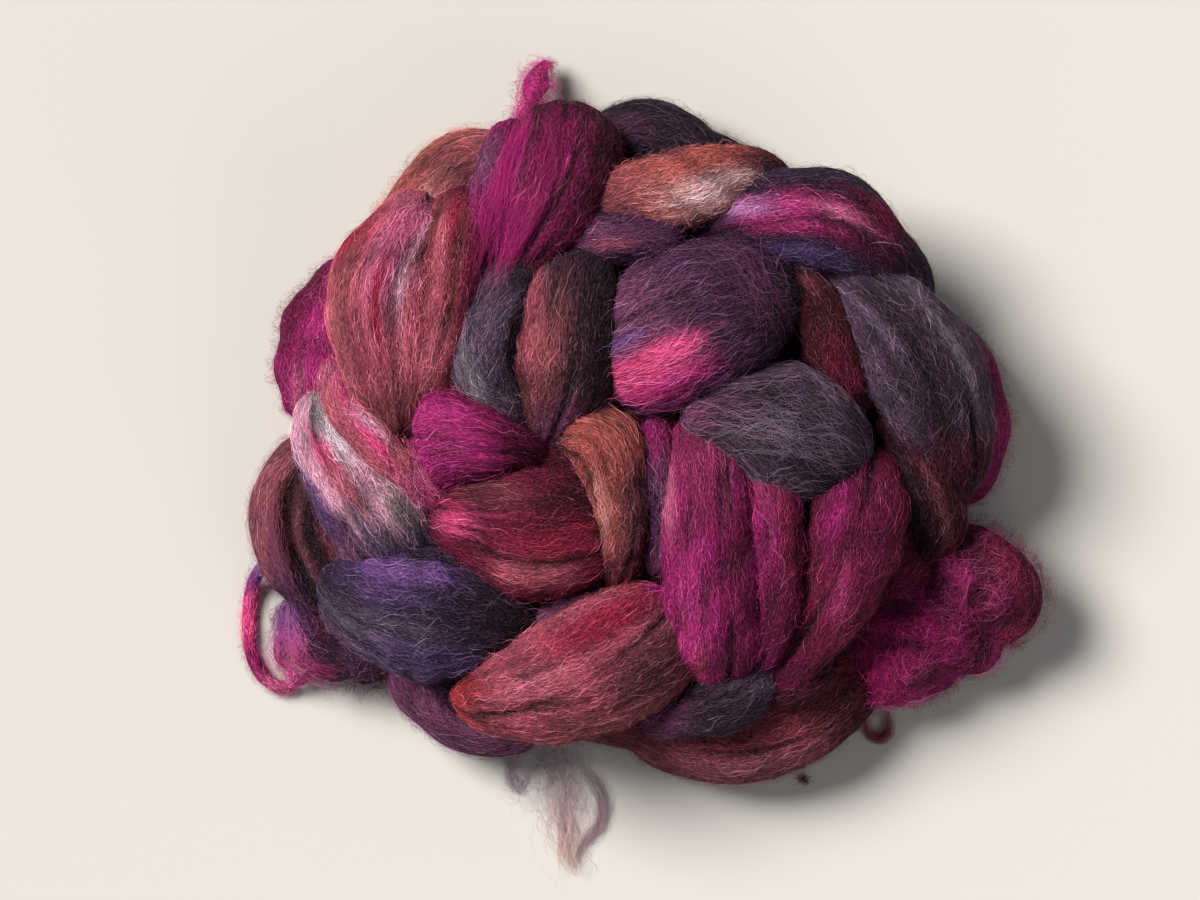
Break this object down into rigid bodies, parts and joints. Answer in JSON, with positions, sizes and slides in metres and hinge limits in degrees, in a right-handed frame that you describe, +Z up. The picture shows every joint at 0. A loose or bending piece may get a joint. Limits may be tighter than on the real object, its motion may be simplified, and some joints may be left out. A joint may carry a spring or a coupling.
{
  "type": "coiled braid of dyed wool top",
  "caption": "Round nest of hand-dyed combed wool top, chained into plump soft folds and coiled, with a fluffy loose end, a stray loop and a thin wisp.",
  "frame": {"origin": "middle of the part's footprint box, on the surface that it rests on", "axes": "+Z up from the surface, +X to the right and +Y to the top as seen from straight above with the fluffy end at the right"},
  "size_m": [0.2417, 0.248, 0.07],
  "materials": {
    "dyed_wool": "soft combed wool, dyed in plum, wine, rust, slate and indigo",
    "loop_wool": "soft combed wool, dyed violet to hot pink",
    "wisp_wool": "sheer loose wool fibres, pale mauve grey"
  },
  "bodies": {
    "root": {"coiled_braid": "dyed_wool", "loose_loop": "loop_wool", "loose_wisp": "wisp_wool"}
  },
  "joints": []
}
